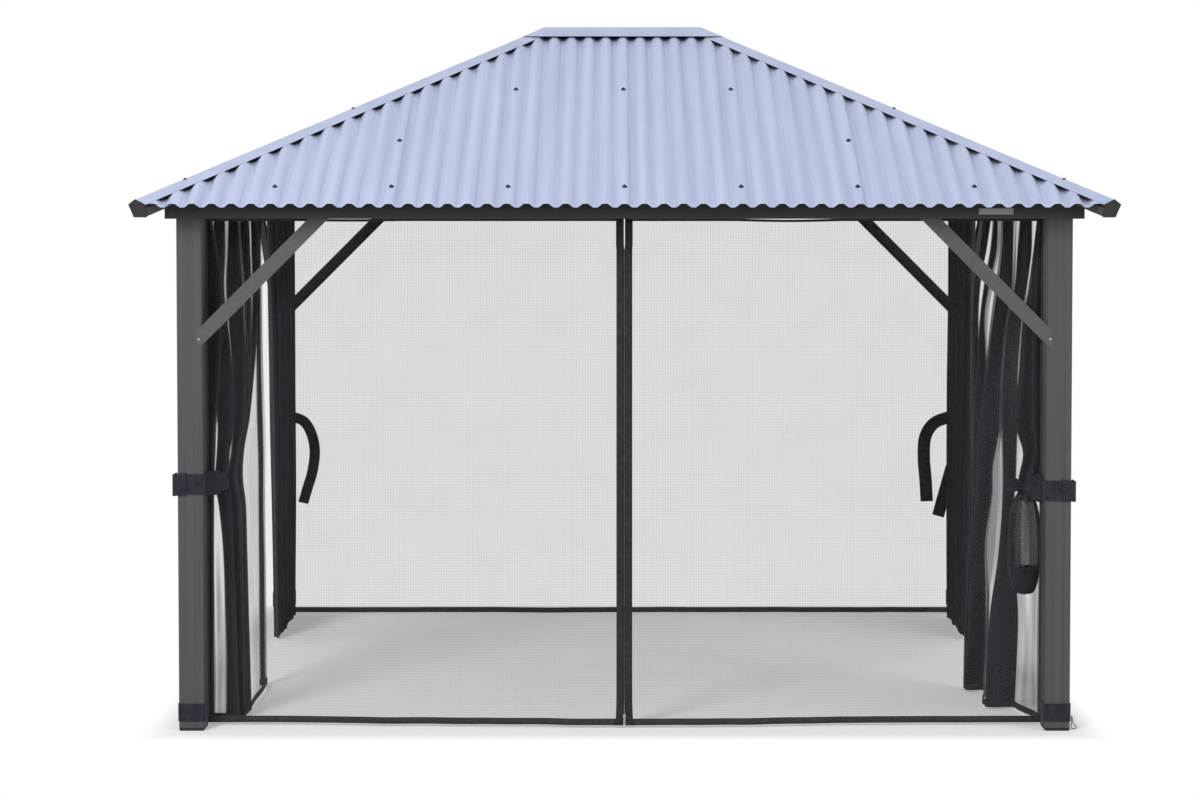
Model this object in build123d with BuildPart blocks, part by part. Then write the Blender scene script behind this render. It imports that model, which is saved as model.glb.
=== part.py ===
# A hipped metal gazebo on four posts, with corrugated roof sheets, corner braces and
# insect nets that hang from rails. Lengths are in millimetres. +X runs along the long
# side, the front faces -Y, +Z is up, and the origin is on the ground at the centre.
from build123d import *
from math import atan, cos, radians, sin, sqrt, tan
import os

os.makedirs("parts", exist_ok=True)

# The frame of posts and beams
frame_length = 3520
frame_depth = 2820
post_size = 100
post_wall = 2.5
post_corner = 6
post_top = 2023
flute_width = 9
flute_depth = 1
flute_offset = 18
foot_base = 12
foot_round = 4
foot_plug = 30
foot_clearance = 0.3
beam_width = 100
beam_height = 75
beam_wall = 2.5
beam_corner = 3
beam_overhang = 35
end_cap_thickness = 3
end_cap_plug = 20

# The braces between posts and beams: a channel with its web outside
brace_width = 54
brace_depth = 28
brace_wall = 2
brace_drop = 457
brace_lap = 22

# The rails that carry the nets
rail_reach = 61
rail_height = 24
rail_wall = 2
rail_slot = 8
slot_inset = 13

# The roof: a hip roof with one pitch on all four faces
roof_pitch = 26.5
eave_overhang = 146
eave_height = 2068
sheet_pitch = 76
sheet_crest = 20
sheet_flank = 19
sheet_rise = 16
sheet_thickness = 0.8
lap_pitches = 12
side_lap_pitches = 6
hip_cut_back = 36
ridge_cut_back = 4
touch = 0.3

# The roof's frame
rafter_top_width = 84
rafter_bottom_width = 76
rafter_depth = 48
rafter_wall = 2.5
jack_width = 40
jack_depth = 45
jack_pitches = 12
side_jack_pitches = 6
batten_width = 40
purlin_inset = 966
purlin_width = 40
purlin_depth = 30
ridge_width = 50
ridge_depth = 60
ridge_reach = 40

# The covers over hips and ridge
cover_half_width = 53
cover_bend = 36
cover_peak = 22.4
cover_thickness = 0.8
cap_setback = 28
cap_thickness = 3
cap_margin = 2
cap_bottom_width = 86
ridge_cap_reach = 94
ridge_cap_lift = 24.6
ridge_cap_thickness = 1.2

# The nets and their ties
net_thickness = 14
net_bottom = 12
net_side_gap = 15
zip_width = 61
tie_height = 80
tie_thickness = 3
tie_level_left = 937
tie_level_right = 912
foot_strap_level = 38
foot_strap_height = 70
loose_tie_width = 60
loose_tie_out = 1191
drape_clear = 2
drape_behind = 23

# Each half of a side net, at its rail, its tie and the floor: its reach along the rail,
# then how far its folds stand inward
drapes = {
    "front_left": ((1020, 40), (110, 90), (260, 135)),
    "front_right": ((1700, 40), (110, 115), (680, 175)),
    "rear_left": ((925, 50), (840, 50), (720, 50)),
    "rear_right": ((860, 50), (800, 50), (710, 50)),
}

# The loose ends of the rear ties: side, then points as distance in from the net and height
loose_ties = (
    (-1, ((50, 1030), (88, 1005), (112, 950), (125, 870), (122, 790), (100, 690), (53, 571))),
    (1, ((50, 1070), (100, 1055), (132, 1010), (145, 930), (136, 830), (122, 720), (117, 571))),
    (1, ((50, 790), (58, 700), (72, 600), (95, 505))),
)

# Sizes that follow from the ones above
post_x = (frame_length - post_size) / 2
post_y = (frame_depth - post_size) / 2
beam_top = post_top + beam_height
beam_out = {"x": frame_length / 2 + beam_overhang, "y": frame_depth / 2 + beam_overhang}
eave_x = frame_length / 2 + eave_overhang
eave_y = frame_depth / 2 + eave_overhang
ridge_half = eave_x - eave_y
slope = tan(radians(roof_pitch))
pitch_cos = cos(radians(roof_pitch))
pitch_sin = sin(radians(roof_pitch))
hip_pitch = atan(slope / sqrt(2))
wing_tan = (pitch_sin / sqrt(2)) / (pitch_sin * sin(hip_pitch) / sqrt(2) + pitch_cos * cos(hip_pitch))
wing_cos = cos(atan(wing_tan))
ridge_level = eave_height + eave_y * slope
lap_drop = sheet_thickness + touch
corners = {"front_left": (-1, -1), "front_right": (1, -1), "rear_left": (-1, 1), "rear_right": (1, 1)}


class Face:
    """One face of the roof: where its eave lies and which way is outward."""

    def __init__(self, along, outward, half_length, inset, laps, jacks):
        self.along = Vector(along)
        self.outward = Vector(outward)
        self.half_length = half_length
        self.inset = inset
        self.laps = laps
        self.jacks = jacks

    def point(self, x, out, z):
        return self.along * x + self.outward * out + Vector(0, 0, z)

    def eave_plane(self):
        """Square to the slope at the eave, with y away from the roof's surface."""
        down = self.outward * pitch_cos + Vector(0, 0, -pitch_sin)
        return Plane(origin=self.point(0, self.inset, eave_height), x_dir=self.along, z_dir=down)

    def section_plane(self, x):
        """Upright and square to the eave: x runs inward from the eave line, y is the height."""
        return Plane(origin=self.point(x, self.inset, 0), x_dir=self.outward * -1, z_dir=self.along)

    def hip_plane(self, side, gap):
        """The upright plane through a hip, moved back by gap, facing this face of the roof."""
        at = self.point(side * (self.half_length - gap * sqrt(2)), self.inset, 0)
        return Plane(origin=at, z_dir=self.outward - self.along * side)


faces = {
    "front": Face((1, 0, 0), (0, -1, 0), eave_x, eave_y, (-lap_pitches, 0, lap_pitches), jack_pitches),
    "right": Face((0, 1, 0), (1, 0, 0), eave_y, eave_x, (-side_lap_pitches, side_lap_pitches), side_jack_pitches),
    "rear": Face((-1, 0, 0), (0, 1, 0), eave_x, eave_y, (-lap_pitches, 0, lap_pitches), jack_pitches),
    "left": Face((0, -1, 0), (-1, 0, 0), eave_y, eave_x, (-side_lap_pitches, side_lap_pitches), side_jack_pitches),
}


def save(builder, name):
    builder.part.label = name
    export_step(builder.part, f"parts/{name}.step")


# Posts: fluted square tubes that stand in moulded feet
for corner, (sx, sy) in corners.items():
    with BuildPart() as post:
        with BuildSketch(Plane.XY.offset(foot_base)):
            with Locations((sx * post_x, sy * post_y)):
                RectangleRounded(post_size, post_size, post_corner)
                inside = post_size - 2 * post_wall
                RectangleRounded(inside, inside, post_corner - post_wall, mode=Mode.SUBTRACT)
                with PolarLocations(post_size / 2, 4):
                    with Locations((0, -flute_offset), (0, flute_offset)):
                        Rectangle(2 * flute_depth, flute_width, mode=Mode.SUBTRACT)
        extrude(amount=post_top - foot_base)
    save(post, f"post_{corner}")

with BuildPart() as post_feet:
    with BuildSketch():
        with GridLocations(2 * post_x, 2 * post_y, 2, 2):
            RectangleRounded(post_size, post_size, post_corner)
    extrude(amount=foot_base)
    chamfer(post_feet.faces().sort_by(Axis.Z)[:4].edges(), foot_round)
    with BuildSketch(Plane.XY.offset(foot_base)):
        with GridLocations(2 * post_x, 2 * post_y, 2, 2):
            plug = post_size - 2 * (post_wall + foot_clearance)
            RectangleRounded(plug, plug, post_corner - post_wall)
            Rectangle(plug - 2 * post_corner, plug - 2 * post_corner, mode=Mode.SUBTRACT)
    extrude(amount=foot_plug)
save(post_feet, "post_feet")


# Beams: box sections, the long pair from end to end and the short pair between them
def make_beam(name, plane, length):
    with BuildPart() as beam:
        with BuildSketch(plane):
            RectangleRounded(beam_width, beam_height, beam_corner)
            RectangleRounded(
                beam_width - 2 * beam_wall, beam_height - 2 * beam_wall, beam_corner - beam_wall, mode=Mode.SUBTRACT
            )
        extrude(amount=length / 2, both=True)
    save(beam, name)


beam_level = post_top + beam_height / 2
for side, name in ((-1, "front"), (1, "rear")):
    at = (0, side * (beam_out["y"] - beam_width / 2), beam_level)
    make_beam(f"beam_{name}", Plane(origin=at, x_dir=(0, 1, 0), z_dir=(1, 0, 0)), 2 * beam_out["x"])
for side, name in ((-1, "left"), (1, "right")):
    at = (side * (beam_out["x"] - beam_width / 2), 0, beam_level)
    make_beam(f"beam_{name}", Plane(origin=at, x_dir=(1, 0, 0), z_dir=(0, -1, 0)), 2 * (beam_out["y"] - beam_width))

with BuildPart() as beam_end_caps:
    for side in (-1, 1):
        end = Plane(origin=(side * beam_out["x"], 0, beam_level), x_dir=(0, side, 0), z_dir=(side, 0, 0))
        spots = Locations((-(beam_out["y"] - beam_width / 2), 0), (beam_out["y"] - beam_width / 2, 0))
        with BuildSketch(end):
            with spots:
                RectangleRounded(beam_width, beam_height, beam_corner)
        extrude(amount=end_cap_thickness)
        with BuildSketch(end):
            with spots:
                space = 2 * (beam_wall + foot_clearance)
                Rectangle(beam_width - space, beam_height - space)
                Rectangle(beam_width - 2 * space, beam_height - 2 * space, mode=Mode.SUBTRACT)
        extrude(amount=-end_cap_plug)
save(beam_end_caps, "beam_end_caps")


# Net rails: box sections beside the beams, with a slot below for the runners
def make_rail(plane, length):
    """The slot lies slot_inset from the rail's inner side, which is on the plane's right."""
    with BuildPart() as rail:
        with BuildSketch(plane):
            Rectangle(rail_reach, rail_height)
            Rectangle(rail_reach - 2 * rail_wall, rail_height - 2 * rail_wall, mode=Mode.SUBTRACT)
            with Locations((rail_reach / 2 - slot_inset, -rail_height / 2)):
                Rectangle(rail_slot, 3 * rail_wall, mode=Mode.SUBTRACT)
        extrude(amount=length / 2, both=True)
    return rail.part


rail_level = post_top + rail_height / 2
rail_out = {axis: out - beam_width for axis, out in beam_out.items()}
with BuildPart() as net_rails:
    for side in (-1, 1):
        at = (0, side * (rail_out["y"] - rail_reach / 2), rail_level)
        add(make_rail(Plane(origin=at, x_dir=(0, -side, 0), z_dir=(-side, 0, 0)), 2 * rail_out["x"]))
        at = (side * (rail_out["x"] - rail_reach / 2), 0, rail_level)
        inner = rail_out["y"] - rail_reach - touch
        add(make_rail(Plane(origin=at, x_dir=(-side, 0, 0), z_dir=(0, side, 0)), 2 * inner))
save(net_rails, "net_rails")


# Braces: the web laps over the post's outer face and the flanges stop at its side
def brace_pair(name, along, outward, post_inner, post_face):
    with BuildPart() as braces:
        for side in (-1, 1):
            web = Plane(origin=outward * post_face, x_dir=along * side, z_dir=outward)
            if side < 0:
                web = Plane(origin=outward * (post_face + brace_wall), x_dir=along * side, z_dir=outward * -1)
            half = brace_width / sqrt(2)
            low = post_top - brace_drop
            lap = post_inner + brace_lap
            with BuildSketch(web):
                with BuildLine():
                    Polyline(
                        (lap, low - brace_lap - half),
                        (lap, low - brace_lap + half),
                        (post_inner - brace_drop + half, post_top),
                        (post_inner - brace_drop - half, post_top),
                        close=True,
                    )
                make_face()
            extrude(amount=brace_wall)
            for edge in (-1, 1):
                shift = edge * (half - brace_wall * sqrt(2) / 2)
                thick = brace_wall * sqrt(2) / 2
                top = post_top
                flange = Plane(origin=outward * post_face, x_dir=along * side, z_dir=outward * side)
                with BuildSketch(flange):
                    with BuildLine():
                        Polyline(
                            (post_inner - touch, low + touch + shift - thick),
                            (post_inner - touch, low + touch + shift + thick),
                            (post_inner - brace_drop + shift + thick, top),
                            (post_inner - brace_drop + shift - thick, top),
                            close=True,
                        )
                    make_face()
                extrude(amount=-side * (brace_depth - brace_wall))
    save(braces, name)


for name, face in faces.items():
    half = face.half_length - eave_overhang
    brace_pair(f"braces_{name}", face.along, face.outward, half - post_size, face.inset - eave_overhang)


# Hip rafters, their covers and end caps share one section plane at each eave corner
def hip_plane_at(corner):
    sx, sy = corners[corner]
    out = Vector(sx, sy, 0) * (cos(hip_pitch) / sqrt(2)) + Vector(0, 0, -sin(hip_pitch))
    return Plane(origin=(sx * eave_x, sy * eave_y, eave_height), x_dir=(-sy, sx, 0), z_dir=out)


hip_length = eave_y * sqrt(2) / cos(hip_pitch)
rafter_half = rafter_top_width / 2
for corner, (sx, sy) in corners.items():
    with BuildPart() as rafter:
        with BuildSketch(hip_plane_at(corner).offset(-cap_setback)):
            with BuildLine():
                Polyline(
                    (0, -touch),
                    (rafter_half, -rafter_half * wing_tan - touch),
                    (rafter_bottom_width / 2, -rafter_depth),
                    (-rafter_bottom_width / 2, -rafter_depth),
                    (-rafter_half, -rafter_half * wing_tan - touch),
                    close=True,
                )
            make_face()
            offset(amount=-rafter_wall, kind=Kind.INTERSECTION, mode=Mode.SUBTRACT)
        extrude(amount=-hip_length)
        split(bisect_by=Plane(origin=(0, sy * touch / 2, 0), z_dir=(0, sy, 0)), keep=Keep.TOP)
        ridge_end = ridge_half + ridge_reach + touch
        split(bisect_by=Plane(origin=(sx * ridge_end, 0, 0), z_dir=(sx, 0, 0)), keep=Keep.TOP)
        seat = (sx * (beam_out["x"] - beam_width + touch), sy * (beam_out["y"] - beam_width + touch), beam_top)
        seat_width = 2 * (beam_width + end_cap_thickness)
        downward = (Align.CENTER, Align.CENTER, Align.MAX)
        with Locations(seat):
            Box(seat_width, seat_width, 2 * beam_height, align=downward, mode=Mode.SUBTRACT)
    save(rafter, f"hip_rafter_{corner}")

with BuildPart() as ridge_beam:
    with BuildSketch(Plane(origin=(0, 0, ridge_level), x_dir=(0, 1, 0), z_dir=(1, 0, 0))):
        with BuildLine():
            half = ridge_width / 2
            Polyline(
                (0, -touch),
                (half, -half * slope - touch),
                (half, -ridge_depth),
                (-half, -ridge_depth),
                (-half, -half * slope - touch),
                close=True,
            )
        make_face()
        offset(amount=-rafter_wall, kind=Kind.INTERSECTION, mode=Mode.SUBTRACT)
    extrude(amount=ridge_half + ridge_reach, both=True)
    for name in ("left", "right"):
        sheets = faces[name].eave_plane()
        under = Plane(origin=sheets.origin - sheets.y_dir * touch, z_dir=sheets.y_dir)
        split(bisect_by=under, keep=Keep.BOTTOM)
save(ridge_beam, "ridge_beam")


# Members that run up or along one face, drawn in its upright section
def under_sheet(inward):
    return eave_height + inward * slope - touch / pitch_cos


def make_jack(face, side):
    x = side * face.jacks * sheet_pitch
    start = eave_overhang - beam_overhang
    end = purlin_inset - purlin_width / 2 - touch
    fall = jack_depth / pitch_cos
    seat_end = (beam_top - eave_height + fall + touch / pitch_cos) / slope
    with BuildPart() as jack:
        with BuildSketch(face.section_plane(x)):
            with BuildLine():
                Polyline(
                    (start, beam_top),
                    (start, under_sheet(start)),
                    (end, under_sheet(end)),
                    (end, under_sheet(end) - fall),
                    (seat_end, beam_top),
                    close=True,
                )
            make_face()
        extrude(amount=jack_width / 2, both=True)
        split(bisect_by=face.hip_plane(side, rafter_half + touch), keep=Keep.TOP)
    return jack.part


with BuildPart() as jack_rafters:
    for face in faces.values():
        for side in (-1, 1):
            add(make_jack(face, side))
save(jack_rafters, "jack_rafters")


def run_along(face, outline, half_length, gap):
    """A member along a face from hip to hip, with its outline in the upright section."""
    with BuildPart() as member:
        with BuildSketch(face.section_plane(0)):
            with BuildLine():
                Polyline(*outline, close=True)
            make_face()
        extrude(amount=half_length, both=True)
        for side in (-1, 1):
            split(bisect_by=face.hip_plane(side, gap), keep=Keep.TOP)
    return member.part


with BuildPart() as purlins:
    for face in faces.values():
        low = purlin_inset - purlin_width / 2
        high = purlin_inset + purlin_width / 2
        fall = purlin_depth / pitch_cos
        outline = (
            (low, under_sheet(low)),
            (high, under_sheet(high)),
            (high, under_sheet(high) - fall),
            (low, under_sheet(low) - fall),
        )
        add(run_along(face, outline, face.half_length, rafter_half + touch))
save(purlins, "purlins")

with BuildPart() as eave_battens:
    for face in faces.values():
        low = eave_overhang - beam_overhang
        high = low + batten_width
        outline = ((low, beam_top), (low, under_sheet(low)), (high, under_sheet(high)), (high, beam_top))
        add(run_along(face, outline, face.half_length, rafter_half + touch))
    for face in faces.values():
        for side in (-1, 1):
            x = side * face.jacks * sheet_pitch
            with BuildSketch(face.section_plane(x)):
                with Locations((low + batten_width / 2, beam_top)):
                    Rectangle(3 * batten_width, 4 * batten_width)
            extrude(amount=jack_width / 2 + touch, both=True, mode=Mode.SUBTRACT)
save(eave_battens, "eave_battens")


# Roof sheets: each laps over the next one's first crest
def sheet_outline(first, last, laps_under, laps_over):
    """The underside from crest first to crest last, then back along the top."""
    half = sheet_crest / 2
    drop = lap_drop if laps_under else 0
    foot_shift = drop * sheet_flank / sheet_rise
    low = [
        (first * sheet_pitch - half + 1, sheet_rise - drop),
        (first * sheet_pitch + half, sheet_rise - drop),
        (first * sheet_pitch + half + sheet_flank - foot_shift, 0),
    ]
    for k in range(first + 1, last + 1):
        centre = k * sheet_pitch
        low += [
            (centre - half - sheet_flank, 0),
            (centre - half, sheet_rise),
            (centre + half, sheet_rise),
        ]
        if k < last:
            low += [(centre + half + sheet_flank, 0)]
    if laps_over:
        low += [(last * sheet_pitch + half + sheet_flank / 2, sheet_rise / 2)]
    return low + [(x, y + sheet_thickness) for x, y in reversed(low)]


def make_sheet(name, face, first, last, laps_under, laps_over):
    with BuildPart() as sheet:
        with BuildSketch(face.eave_plane()):
            with BuildLine():
                Polyline(*sheet_outline(first, last, laps_under, laps_over), close=True)
            make_face()
        extrude(amount=-face.inset / pitch_cos)
        for side in (-1, 1):
            split(bisect_by=face.hip_plane(side, hip_cut_back), keep=Keep.TOP)
        top = Plane(origin=face.point(0, ridge_cut_back, 0), z_dir=face.outward)
        split(bisect_by=top, keep=Keep.TOP)
    save(sheet, name)


for name, face in faces.items():
    outer = int(face.half_length / sheet_pitch) + 1
    ends = (-outer, *face.laps, outer)
    for n in range(len(ends) - 1):
        make_sheet(
            f"roof_sheet_{name}_{n + 1}",
            face,
            ends[n],
            ends[n + 1],
            laps_under=n > 0,
            laps_over=n < len(ends) - 2,
        )


# Hip covers: folded strips that lie on the crests of both faces, with moulded end caps
crest_top = (sheet_rise + sheet_thickness + touch) / wing_cos
cover_rise = cover_thickness / wing_cos
cover_line = (
    (cover_half_width, crest_top - cover_half_width * wing_tan),
    (cover_bend, crest_top - cover_bend * wing_tan),
    (0, cover_peak - cover_rise),
    (-cover_bend, crest_top - cover_bend * wing_tan),
    (-cover_half_width, crest_top - cover_half_width * wing_tan),
)
for corner, (sx, sy) in corners.items():
    with BuildPart() as cover:
        with BuildSketch(hip_plane_at(corner).offset(-cap_setback)):
            with BuildLine():
                back = [(x, y + cover_rise) for x, y in reversed(cover_line)]
                Polyline(*cover_line, *back, close=True)
            make_face()
        extrude(amount=-hip_length - cover_half_width)
        split(bisect_by=Plane(origin=(0, sy * touch, 0), z_dir=(0, sy, 0)), keep=Keep.TOP)
    save(cover, f"hip_cover_{corner}")

with BuildPart() as hip_end_caps:
    for corner in corners:
        with BuildSketch(hip_plane_at(corner).offset(-cap_setback + touch)):
            with BuildLine():
                shoulder = cover_half_width + cap_margin
                shoulder_y = crest_top + cover_rise - cover_half_width * wing_tan + cap_margin
                Polyline(
                    (0, cover_peak + cap_margin),
                    (shoulder, shoulder_y),
                    (cap_bottom_width / 2, -rafter_depth - cap_margin),
                    (-cap_bottom_width / 2, -rafter_depth - cap_margin),
                    (-shoulder, shoulder_y),
                    close=True,
                )
            make_face()
        extrude(amount=cap_thickness)
save(hip_end_caps, "hip_end_caps")


# Ridge cap: a small hipped shell over the ridge and the covers' upper ends
def hipped(level, reach):
    """A solid hip roof over the ridge, reaching out from it by reach, with its ridge at level."""
    with BuildPart() as block:
        with BuildSketch(Plane(origin=(0, 0, level), x_dir=(0, 1, 0), z_dir=(1, 0, 0))):
            with BuildLine():
                Polyline((0, 0), (reach, -reach * slope), (-reach, -reach * slope), close=True)
            make_face()
        extrude(amount=ridge_half + reach, both=True)
        with BuildSketch(Plane(origin=(0, 0, level), x_dir=(1, 0, 0), z_dir=(0, -1, 0))):
            with BuildLine():
                foot = ridge_half + reach
                Polyline(
                    (-ridge_half, 0),
                    (ridge_half, 0),
                    (foot, -reach * slope),
                    (-foot, -reach * slope),
                    close=True,
                )
            make_face()
        extrude(amount=2 * reach, both=True, mode=Mode.INTERSECT)
    return block.part


with BuildPart() as ridge_cap:
    cap_top = ridge_level + ridge_cap_lift + ridge_cap_thickness / pitch_cos
    add(hipped(cap_top, ridge_cap_reach))
    add(hipped(ridge_level + ridge_cap_lift, 2 * ridge_cap_reach), mode=Mode.SUBTRACT)
save(ridge_cap, "ridge_cap")


# Nets: the long sides are closed, in two halves with a zip between them in front
net_centre = {axis: out - rail_reach + slot_inset for axis, out in rail_out.items()}
net_half = rail_out["x"] - net_side_gap
net_top = post_top - touch


def make_panel(name, left, right, y, thickness):
    with BuildPart() as panel:
        with Locations(((left + right) / 2, y, net_bottom)):
            Box(right - left, thickness, net_top - net_bottom, align=(Align.CENTER, Align.CENTER, Align.MIN))
    save(panel, name)


net_inner = zip_width / 2 + touch
make_panel("net_front_left", -net_half, -net_inner, -net_centre["y"], net_thickness)
make_panel("net_front_right", net_inner, net_half, -net_centre["y"], net_thickness)
make_panel("zip_front", -zip_width / 2, zip_width / 2, -net_centre["y"], net_thickness)
make_panel("net_rear_left", -net_half, -touch, net_centre["y"], net_thickness)
make_panel("net_rear_right", touch, net_half, net_centre["y"], net_thickness)

# The side nets are open: the front halves are tied to their posts, the rear ones hang loose
tie_levels = {-1: tie_level_left, 1: tie_level_right}
for corner, (sx, sy) in corners.items():
    (top, top_in), (tie, tie_in), (floor, floor_in) = drapes[corner]
    tie_low = tie_levels[sx]
    tie_high = tie_low + tie_height
    start = net_centre["y"] - net_thickness / 2 - drape_clear
    along_rail = Plane(origin=(sx * net_centre["x"], sy * start, 0), x_dir=(0, -sy, 0), z_dir=(-sy, 0, 0))
    across_rail = Plane(origin=(sx * net_centre["x"], 0, 0), x_dir=(-sx, 0, 0), z_dir=(0, sx, 0))
    with BuildPart() as drape:
        with BuildSketch(along_rail):
            with BuildLine():
                Polyline(
                    (0, net_bottom),
                    (0, net_top),
                    (top, net_top),
                    (tie, tie_high),
                    (tie, tie_low),
                    (floor, net_bottom),
                    close=True,
                )
            make_face()
        extrude(amount=2 * floor_in, both=True)
        with BuildSketch(across_rail):
            with BuildLine():
                Polyline(
                    (-drape_behind, net_bottom),
                    (-drape_behind, net_top),
                    (top_in, net_top),
                    (tie_in, tie_high),
                    (tie_in, tie_low),
                    (floor_in, net_bottom),
                    close=True,
                )
            make_face()
        extrude(amount=frame_depth, both=True, mode=Mode.INTERSECT)
    save(drape, f"side_net_{corner}")


# Ties: a wide band at hand height on the front posts and a strap above each foot
def make_bands(name, spots, height):
    with BuildPart() as bands:
        for x, y, level in spots:
            with BuildSketch(Plane.XY.offset(level)):
                with Locations((x, y)):
                    bore = post_size + 2 * touch
                    outside = bore + 2 * tie_thickness
                    RectangleRounded(outside, outside, post_corner + tie_thickness)
                    RectangleRounded(bore, bore, post_corner, mode=Mode.SUBTRACT)
            extrude(amount=height)
    save(bands, name)


make_bands("post_ties", [(side * post_x, -post_y, level) for side, level in tie_levels.items()], tie_height)
feet = [(sx * post_x, sy * post_y, foot_strap_level) for sx, sy in corners.values()]
make_bands("foot_straps", feet, foot_strap_height)

with BuildPart() as loose:
    for side, points in loose_ties:
        across = Plane(origin=(side * net_centre["x"], loose_tie_out, 0), x_dir=(-side, 0, 0), z_dir=(0, side, 0))
        with BuildSketch(across):
            with BuildLine():
                Polyline(*points)
            trace(line_width=loose_tie_width)
            with Locations((0, beam_top / 2)):
                Rectangle(2 * (points[0][0] + touch), beam_top, mode=Mode.SUBTRACT)
        extrude(amount=tie_thickness)
save(loose, "loose_ties")
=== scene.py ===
# %% [markdown]
# # A metal garden gazebo with a corrugated hip roof
# The frame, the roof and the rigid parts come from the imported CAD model. Blender adds what
# makes them look real: coatings, screws, sheer nets, their hems and ties, a zip, and light.
# All lengths are in metres, in the same frame as the CAD.

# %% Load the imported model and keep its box
import math

import bmesh
import bpy
from mathutils import Matrix, Vector, noise


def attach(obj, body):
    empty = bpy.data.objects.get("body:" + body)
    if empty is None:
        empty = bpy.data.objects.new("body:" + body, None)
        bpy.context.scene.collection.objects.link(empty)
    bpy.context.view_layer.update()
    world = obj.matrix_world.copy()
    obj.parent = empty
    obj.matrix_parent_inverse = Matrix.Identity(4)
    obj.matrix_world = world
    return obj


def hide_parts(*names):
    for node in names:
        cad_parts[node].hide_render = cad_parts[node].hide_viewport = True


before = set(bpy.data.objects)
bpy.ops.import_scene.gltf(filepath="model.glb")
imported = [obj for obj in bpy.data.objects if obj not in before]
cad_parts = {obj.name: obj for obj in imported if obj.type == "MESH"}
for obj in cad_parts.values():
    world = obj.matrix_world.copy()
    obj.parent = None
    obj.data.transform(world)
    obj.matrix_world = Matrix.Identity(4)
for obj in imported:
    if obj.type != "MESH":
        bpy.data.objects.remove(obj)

scene = bpy.context.scene
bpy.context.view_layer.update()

# %% [markdown]
# ## The camera
# The photograph was taken from straight in front, a little above head height, with the
# posts almost parallel. The camera looks down by two degrees, and its frame is shifted down
# by a tenth of its width. Such a shift keeps upright lines upright.

# %% Place the camera
camera_data = bpy.data.cameras.new("camera")
camera = bpy.data.objects.new("camera", camera_data)
scene.collection.objects.link(camera)
camera.location = (-0.061, -11.01, 2.107)
camera.rotation_euler = (math.radians(88), 0, 0)
camera_data.lens = 73.4
camera_data.shift_x = -0.0075
camera_data.shift_y = -0.0977
scene.camera = camera
scene.view_settings.view_transform = "Standard"
print("camera at", tuple(camera.location))

# %% [markdown]
# ## Light, floor and background
# The photograph is a studio picture on white. A pale world lights everything evenly, one
# wide lamp from the upper left gives the folds of the roof some shape, and a weaker one
# fills from the right. The floor is pale enough to keep a faint shadow near the feet, and
# it turns into plain white within 20 cm outside the posts, so that no horizon shows. Between
# the posts 28 % of that white is mixed in, as the camera and mirrors see it. That stands for
# the light that a bright studio throws back, and only changes how the floor looks.


# %% Light the scene
def soft_lamp(name, place, aim, size, power):
    data = bpy.data.lights.new(name, "AREA")
    data.shape = "DISK"
    data.size = size
    data.energy = power
    lamp = bpy.data.objects.new(name, data)
    lamp.location = place
    lamp.rotation_euler = (Vector(aim) - Vector(place)).to_track_quat("-Z", "Y").to_euler()
    scene.collection.objects.link(lamp)


soft_lamp("key_lamp", (-4.8, -8.6, 7), (0, 0, 1.6), 3, 620)
soft_lamp("fill_lamp", (8, -6, 4), (0, 0, 1.2), 6, 225)


# %% Helpers for arithmetic between nodes
def arithmetic(nodes, links, operation, *values):
    """A Math node. Each value is a number, or the socket that it comes from."""
    node = nodes.new("ShaderNodeMath")
    node.operation = operation
    for k, value in enumerate(values):
        if isinstance(value, (int, float)):
            node.inputs[k].default_value = value
        else:
            links.new(value, node.inputs[k])
    return node.outputs[0]


def rescaled(nodes, links, value, low, high, to_low=0, to_high=1, smooth=False):
    """Moves a value from one range into another, and holds it there."""
    change = nodes.new("ShaderNodeMapRange")
    if smooth:
        change.interpolation_type = "SMOOTHSTEP"
    for name, number in (("From Min", low), ("From Max", high), ("To Min", to_low), ("To Max", to_high)):
        change.inputs[name].default_value = number
    links.new(value, change.inputs["Value"])
    return change.outputs[0]


def seen_directly(nodes, links):
    """1 where the ray comes from the camera, a mirror or a clear pane, and 0 elsewhere."""
    path = nodes.new("ShaderNodeLightPath")
    first = arithmetic(nodes, links, "MAXIMUM", path.outputs["Is Camera Ray"], path.outputs["Is Glossy Ray"])
    return arithmetic(nodes, links, "MAXIMUM", first, path.outputs["Is Transmission Ray"])


# %% Light the studio from all around
world = bpy.data.worlds.new("studio")
scene.world = world
world.use_nodes = True
nodes, links = world.node_tree.nodes, world.node_tree.links
nodes.clear()
world_out = nodes.new("ShaderNodeOutputWorld")
choose_world = nodes.new("ShaderNodeMixShader")
links.new(seen_directly(nodes, links), choose_world.inputs["Fac"])
soft_glow, plain_white = 0.52, 1
for side, strength in ((1, soft_glow), (2, plain_white)):
    glow = nodes.new("ShaderNodeBackground")
    glow.inputs["Color"].default_value = (1, 1, 1, 1)
    glow.inputs["Strength"].default_value = strength
    links.new(glow.outputs[0], choose_world.inputs[side])
links.new(choose_world.outputs[0], world_out.inputs["Surface"])

# %% Lay the floor
floor_mesh = bpy.data.meshes.new("studio_floor")
reach = 30
floor_mesh.from_pydata(
    [(-reach, -reach, 0), (reach, -reach, 0), (reach, reach, 0), (-reach, reach, 0)], [], [(0, 1, 2, 3)]
)
floor = bpy.data.objects.new("studio_floor", floor_mesh)
floor.location.z = -0.001
scene.collection.objects.link(floor)

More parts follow.
